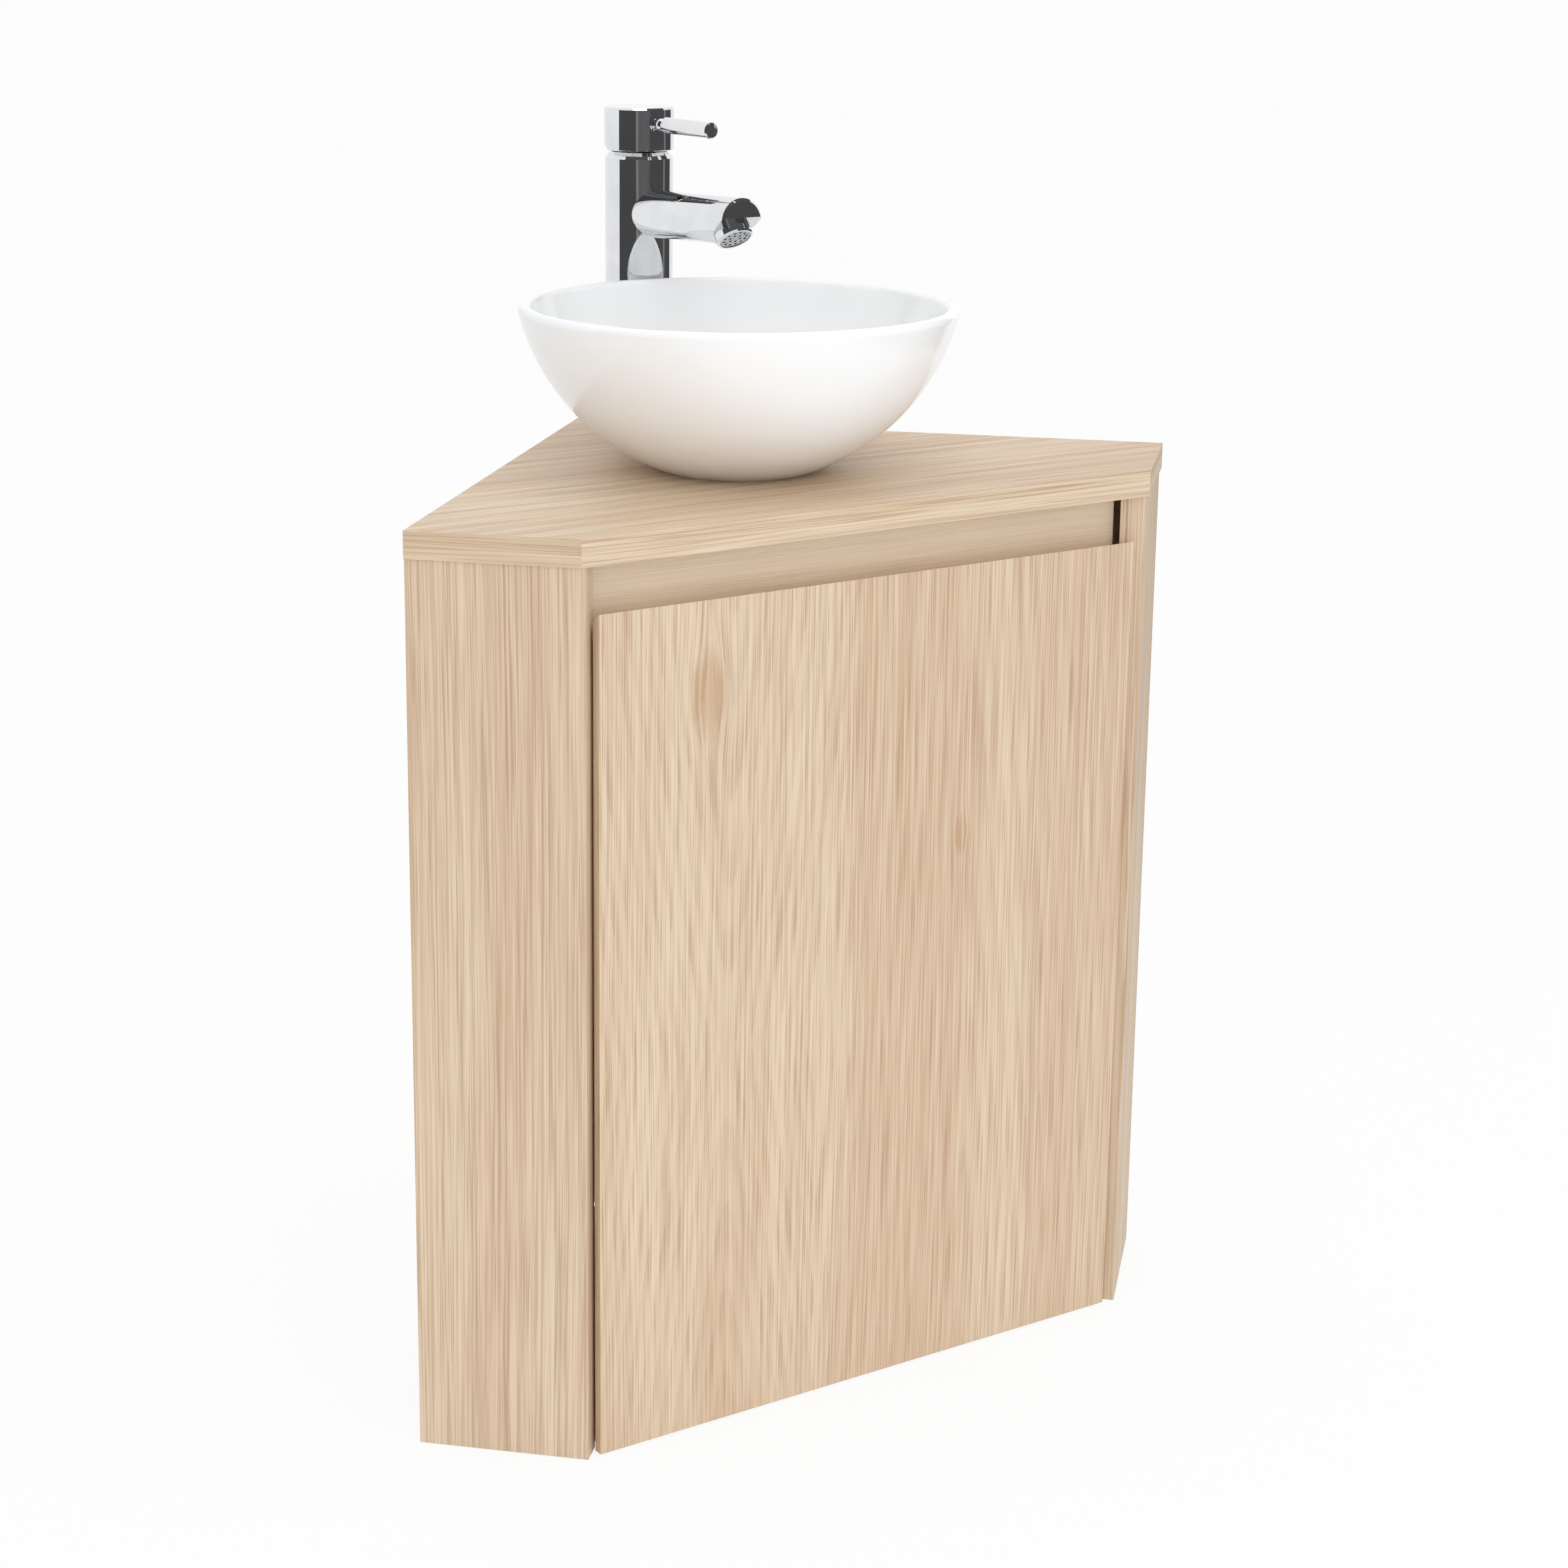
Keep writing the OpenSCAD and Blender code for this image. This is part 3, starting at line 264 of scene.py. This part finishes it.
def growth_rings(graph, bent, length, hearts, feather):
    """How dark a growth ring is at each place of a flat-sawn board.

    Each heart is a tree's middle: its place across the board, the height from which its arches open
    up and down, how round their tips are, how far they lean, and the ring spacing. The nearest heart's
    arches win. The feather frays them along the grain.
    """
    nearest = None
    for place, height, tip, lean, spacing in hearts:
        side = graph.math("SUBTRACT", bent, place)
        rise = graph.math("MULTIPLY", graph.math("ABSOLUTE", graph.math("SUBTRACT", length, height)), -lean)
        wide = graph.math("SQRT", graph.math("ADD", graph.math("MULTIPLY", side, side), tip * tip))
        reach = graph.math("DIVIDE", graph.math("ADD", wide, rise), spacing)
        nearest = reach if nearest is None else graph.math("MINIMUM", nearest, reach)
    frayed = graph.add(nearest, graph.math("MULTIPLY", feather, RING_FRAY))
    ring = graph.math("FRACT", frayed)
    return graph.math("MULTIPLY", graph.span(ring, *RING_RISE), graph.span(ring, *RING_FALL))


def oak(name, along, seed=0.0, figure=PLAIN_FIGURE, hearts=PLAIN_HEARTS, knots=(), painted_light=0.0, painted_end_shade=None):
    """Pale oak with its grain along Z or level.

    The figure is how dark its rings are. A knot is its place and its half width and height. Painted light
    is how much of the palest tone is painted over the board, as light in a shaded recess. Painted end
    shade is the axis along which its end faces look, how far, and how much dark tone is painted on them
    as shade.
    """
    graph = Graph(name)
    graph.seed = seed
    level, up = graph.face_place()
    across, length = (level, up) if along == "z" else (up, level)
    bent = warped_grain(graph, across, length, knots)
    bands = graph.noise(graph.flat(bent, length, *BAND_STEPS), detail=3, warp=0.3)
    strands = graph.noise(graph.flat(bent, length, *STRAND_STEPS), detail=2, roughness=0.6)
    streaks = graph.noise(graph.flat(bent, length, *STREAK_STEPS), detail=1, roughness=0.6)
    pores = graph.noise(graph.flat(bent, length, *PORE_STEPS), detail=1, roughness=0.7)
    rings = growth_rings(graph, bent, length, hearts, streaks)
    colour = graph.mix(graph.span(bands, *BAND_SPAN), OAK_MID, OAK_LIGHT)
    colour = graph.mix(graph.span(strands, *STRAND_DARK), colour, OAK_DARK)
    colour = graph.mix(graph.math("MULTIPLY", rings, figure), colour, OAK_DARK)
    for x, z, half_w, half_h in knots:
        reach = graph.ellipse(across, length, x, z, half_w, half_h)[1]
        blot = graph.noise(graph.flat(across, length, *BLOT_STEPS), detail=3)
        reach = graph.math("ADD", reach, graph.centred(blot, KNOT_FRAY))
        colour = graph.mix(graph.span(reach, *KNOT_SHARE), colour, KNOT)
    colour = graph.mix(graph.span(streaks, *STREAK_PALE), colour, OAK_PALE)
    colour = graph.mix(graph.span(streaks, *STREAK_DARK), colour, OAK_DARK)
    dashes = graph.math("MULTIPLY", graph.span(pores, *PORE_SPAN), graph.span(rings, *PORE_BY_RING))
    colour = graph.mix(graph.span(pores, *PORE_PALE), colour, OAK_PALE)
    colour = graph.mix(graph.math("MULTIPLY", dashes, PORE_SHARE), colour, OAK_DARK)
    # Painted light: the palest tone laid over a board that sits in shade, such as the front rail under the
    # worktop's overhang
    if painted_light:
        colour = graph.mix(painted_light, colour, OAK_PALE)
    # Painted shade: end faces that look along the axis take a share of the dark tone
    if painted_end_shade:
        axis, least, share = painted_end_shade
        is_end = graph.math("GREATER_THAN", graph.math("ABSOLUTE", graph.facing[axis]), least)
        colour = graph.mix(graph.math("MULTIPLY", is_end, share), colour, OAK_DARK)
    graph.bump(graph.math("SUBTRACT", 1.0, dashes), PORE_BUMP, PORE_DEPTH)
    return graph.set(Base_Color=colour, Roughness=graph.span(strands, *OAK_ROUGH))


# Metals, plastics and glaze
METAL_GRAIN = (60, 60, 60)
METAL_BUMP = 0.06
METAL_DEPTH = 0.02 * MM
METAL_DIM = 0.93
SKIN_STEPS = 900
SKIN_BUMP = 0.12
SKIN_DEPTH = 0.05 * MM
SKIN_ROUGH_MORE = 0.1
CLOUD_STEPS = 30
CLOUD_DIM = 0.9
MIDDLE_SPAN = (0.3, 0.7)
INNER_SPAN = (0.35, 0.65)
POOL_STEPS = 7
POOL_BUMP = 0.05
POOL_DEPTH = 0.8 * MM
GLAZE_PALE = srgb(0.982, 0.985, 0.987)
GLAZE_DEEP = srgb(0.972, 0.976, 0.979)
GLAZE_ROUGH = (0.13, 0.18)


def metal(name, colour, low, high, grain=METAL_GRAIN):
    """A metal whose roughness goes from low to high with its wear."""
    graph = Graph(name)
    wear = graph.noise(graph.scaled(*grain), detail=3)
    graph.bump(wear, METAL_BUMP, METAL_DEPTH)
    tint = graph.mix(graph.span(wear, *MIDDLE_SPAN), colour, dimmed(colour, METAL_DIM))
    return graph.set(Base_Color=tint, Metallic=1.0, Roughness=graph.span(wear, *INNER_SPAN, low, high))


def moulded(name, colour, rough, grain=SKIN_STEPS):
    """Plastic or rubber with a fine skin and a slightly cloudy colour."""
    graph = Graph(name)
    skin = graph.noise(graph.scaled(grain, grain, grain))
    cloud = graph.noise(graph.scaled(CLOUD_STEPS, CLOUD_STEPS, CLOUD_STEPS))
    graph.bump(skin, SKIN_BUMP, SKIN_DEPTH)
    tint = graph.mix(graph.span(cloud, *MIDDLE_SPAN), colour, dimmed(colour, CLOUD_DIM))
    dullness = graph.span(skin, *MIDDLE_SPAN, rough, rough + SKIN_ROUGH_MORE)
    return graph.set(Base_Color=tint, Roughness=dullness)


def glaze():
    """White glaze that pools a little, as on fired ceramic."""
    graph = Graph("glaze")
    pool = graph.noise(graph.scaled(POOL_STEPS, POOL_STEPS, POOL_STEPS))
    graph.bump(pool, POOL_BUMP, POOL_DEPTH)
    tint = graph.mix(graph.span(pool, *INNER_SPAN), GLAZE_PALE, GLAZE_DEEP)
    return graph.set(Base_Color=tint, Roughness=graph.span(pool, *MIDDLE_SPAN, *GLAZE_ROUGH))


MATERIALS = {
    "white_glaze": glaze(),
    "chrome": metal("chrome", srgb(0.9, 0.905, 0.915), 0.02, 0.05),
    "steel": metal("steel", srgb(0.72, 0.725, 0.735), 0.26, 0.4, (500, 500, 30)),
    "brass": metal("brass", srgb(0.7, 0.63, 0.48), 0.26, 0.4, (300, 300, 300)),
    "rubber": moulded("rubber", srgb(0.16, 0.16, 0.17), 0.7),
    "white_plastic": moulded("white_plastic", srgb(0.9, 0.9, 0.89), 0.38),
    "black_plastic": moulded("black_plastic", srgb(0.1, 0.1, 0.11), 0.45),
    "ferrite": moulded("ferrite", srgb(0.2, 0.2, 0.21), 0.6, 500),
    "beech": oak("beech", "z", 5.0),
}

# Each board's oak, as what oak is called with; hearts, knots and painted end shade in the order that it
# reads them
DOOR_HEARTS = ((-0.105, 0.24, 0.006, 0.17, 0.0092), (0.07, 0.62, 0.004, 0.11, 0.0118))
DOOR_KNOTS = ((-0.12, 0.457, 0.0115, 0.028), (0.064, 0.345, 0.005, 0.013))
# Painted shade on the worktop's ends and the side panels' front ends, as axis, least facing and share of the
# dark tone
TOP_END_SHADE = (0, 0.5, 0.14)
SIDE_END_SHADE = (1, 0.9, 0.6)
BOARDS = {
    "worktop": {"along": "x", "seed": 1.3, "figure": 0.16, "painted_end_shade": TOP_END_SHADE},
    # The front rail's pale layer is painted light in its recess under the worktop
    "front_rail": {"along": "x", "seed": 4.1, "painted_light": 0.6},
    "bottom_panel": {"along": "x", "seed": 7.7},
    "shelf": {"along": "x", "seed": 9.2},
    "left_side_panel": {"along": "z", "seed": 2.4, "painted_end_shade": SIDE_END_SHADE},
    "right_side_panel": {"along": "z", "seed": 3.6, "painted_end_shade": SIDE_END_SHADE},
    "left_back_panel": {"along": "z", "seed": 6.1},
    "right_back_panel": {"along": "z", "seed": 8.3},
    "door": {"along": "z", "figure": 0.14, "hearts": DOOR_HEARTS, "knots": DOOR_KNOTS},
}
WELD_REACH = 0.01 * MM
EDGE_ROUND = 0.7 * MM
EDGE_SEGMENTS = 2
EDGE_ANGLE = math.radians(40)
LARGE_FACE_WEIGHT = 100


def soften_edges(node):
    """Rounds a board's sharp edges a little and keeps its faces flat in the light."""
    weld = node.modifiers.new("weld", "WELD")
    weld.merge_threshold = WELD_REACH
    bevel = node.modifiers.new("soft_edges", "BEVEL")
    bevel.width = EDGE_ROUND
    bevel.segments = EDGE_SEGMENTS
    bevel.limit_method = "ANGLE"
    bevel.angle_limit = EDGE_ANGLE
    flat = node.modifiers.new("flat_faces", "WEIGHTED_NORMAL")
    flat.mode = "FACE_AREA"
    flat.weight = LARGE_FACE_WEIGHT


def dress_nodes():
    """Gives every CAD node its material, and the boards their edges."""
    for name, node in NODES.items():
        if name in BOARDS:
            material = oak(name + "_oak", **BOARDS[name])
            soften_edges(node)
        else:
            material = MATERIALS[SLOTS[name]]
        node.data.materials.clear()
        node.data.materials.append(material)


# Studio
WORLD_LEVEL = 0.82
FLOOR_SIZE = 80
FLOOR_DROP = 0.5 * MM
FLOOR_COLOUR = (0.9, 0.9, 0.9, 1)
FLOOR_GLOW = 1.01
FLOOR_GLOW_SHARE = 0.88

# Soft lamps as name, place, aim, size and watts
LIGHTS = (
    ("key", (-0.8, -2.1, 1.9), (0, 0, 0.5), 1.6, 6.5),
    ("low_front", (-0.5, -2.5, 0.5), (0, 0, 0.5), 1.1, 8),
    ("top", (0.1, -0.4, 2.4), (0, 0, 0.6), 1.5, 6.5),
)

# Cards that only reflections show, as azimuths seen from the tap, lower and upper elevation, and shade
CARD_REACH = 1.25
CARD_STEP = 6
FLAG_LOW = -31
FLAG_HIGH = 38
CANOPY_HIGH = 76
FLAGS = (
    (-101, -42, FLAG_LOW, FLAG_HIGH, 0.07),
    (-42, -34, FLAG_LOW, FLAG_HIGH, 0.22),
    (-34, 3, FLAG_LOW, FLAG_HIGH, 0.12),
    (3, 58, FLAG_LOW, FLAG_HIGH, 0.075),
    (58, 65, FLAG_LOW, FLAG_HIGH, 0.22),
    (65, 96, FLAG_LOW, FLAG_HIGH, 0.07),
    (-101, 96, FLAG_HIGH, CANOPY_HIGH, 0.09),
)

# White cards just inside these, as small lamps, by azimuths and elevations
LAMP_REACH = 1.2
LAMP_SHADE = 1.0
LAMPS = ((-75, -62, 57, 69), (5, 20, 55, 69), (60, 71, 40, 52))


def seen_straight(tree):
    """One for what the camera or a reflection sees, and zero for light that falls on the object."""
    path = tree.nodes.new("ShaderNodeLightPath")
    seen = tree.nodes.new("ShaderNodeMath")
    seen.operation = "MAXIMUM"
    tree.links.new(path.outputs["Is Camera Ray"], seen.inputs[0])
    tree.links.new(path.outputs["Is Glossy Ray"], seen.inputs[1])
    return seen.outputs[0]


def studio_material(name):
    """A material with an empty tree, and its output's surface."""
    material = bpy.data.materials.new(name)
    material.use_nodes = True
    tree = material.node_tree
    tree.nodes.clear()
    return material, tree, tree.nodes.new("ShaderNodeOutputMaterial").inputs[0]


def floor_material():
    """White to the camera and in reflections, keeping the object's shadow."""
    material, tree, surface = studio_material("floor")
    mix = tree.nodes.new("ShaderNodeMixShader")
    diffuse = tree.nodes.new("ShaderNodeBsdfDiffuse")
    diffuse.inputs["Color"].default_value = FLOOR_COLOUR
    glow = tree.nodes.new("ShaderNodeEmission")
    glow.inputs["Strength"].default_value = FLOOR_GLOW
    share = tree.nodes.new("ShaderNodeMath")
    share.operation = "MULTIPLY"
    share.inputs[1].default_value = FLOOR_GLOW_SHARE
    tree.links.new(seen_straight(tree), share.inputs[0])
    tree.links.new(share.outputs[0], mix.inputs[0])
    tree.links.new(diffuse.outputs[0], mix.inputs[1])
    tree.links.new(glow.outputs[0], mix.inputs[2])
    tree.links.new(mix.outputs[0], surface)
    return material


def make_floor():
    bpy.ops.mesh.primitive_plane_add(size=FLOOR_SIZE, location=(0, 0, -FLOOR_DROP))
    floor = bpy.context.object
    floor.name = "floor"
    floor.data.materials.append(floor_material())


def make_world():
    world = bpy.data.worlds.new("studio")
    bpy.context.scene.world = world
    world.use_nodes = True
    tree = world.node_tree
    shade = tree.nodes["Background"]
    shade.inputs["Color"].default_value = (1, 1, 1, 1)
    level = tree.nodes.new("ShaderNodeMapRange")
    level.inputs["To Min"].default_value = WORLD_LEVEL
    level.inputs["To Max"].default_value = 1
    tree.links.new(seen_straight(tree), level.inputs["Value"])
    tree.links.new(level.outputs["Result"], shade.inputs["Strength"])


def area_light(name, place, aim, size, watts):
    data = bpy.data.lights.new(name, "AREA")
    data.size = size
    data.energy = watts
    lamp = bpy.data.objects.new(name, data)
    lamp.location = place
    lamp.rotation_euler = (Vector(aim) - Vector(place)).to_track_quat("-Z", "Y").to_euler()
    bpy.context.scene.collection.objects.link(lamp)


def reflection_card(name, start, end, low, high, shade, reach=CARD_REACH):
    """A curved card round the tap that only reflections show, between two azimuths and elevations."""
    low_corner, high_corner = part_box("tap_head")
    middle = (low_corner + high_corner) / 2
    steps = max(1, round((end - start) / CARD_STEP))
    points = []
    for step in range(steps + 1):
        turn = math.radians(start + (end - start) * step / steps)
        for elevation in (low, high):
            rise = math.radians(elevation)
            out = Vector((math.sin(turn), -math.cos(turn), 0)) * math.cos(rise)
            points.append(middle + (out + Vector((0, 0, math.sin(rise)))) * reach)
    faces = [(2 * step, 2 * step + 2, 2 * step + 3, 2 * step + 1) for step in range(steps)]
    mesh = bpy.data.meshes.new(name)
    mesh.from_pydata(points, [], faces)
    material, tree, surface = studio_material(name)
    glow = tree.nodes.new("ShaderNodeEmission")
    glow.inputs["Color"].default_value = (shade, shade, shade, 1)
    tree.links.new(glow.outputs[0], surface)
    mesh.materials.append(material)
    card = bpy.data.objects.new(name, mesh)
    bpy.context.scene.collection.objects.link(card)
    card.visible_camera = False
    card.visible_diffuse = False
    card.visible_shadow = False
    card.visible_transmission = False


def make_studio():
    make_floor()
    make_world()
    for light in LIGHTS:
        area_light(*light)
    for index, flag in enumerate(FLAGS):
        reflection_card("flag_%d" % index, *flag)
    for index, lamp in enumerate(LAMPS):
        reflection_card("lamp_%d" % index, *lamp, LAMP_SHADE, LAMP_REACH)


make_camera()
dress_nodes()
make_studio()
bpy.context.scene.view_settings.view_transform = "Standard"
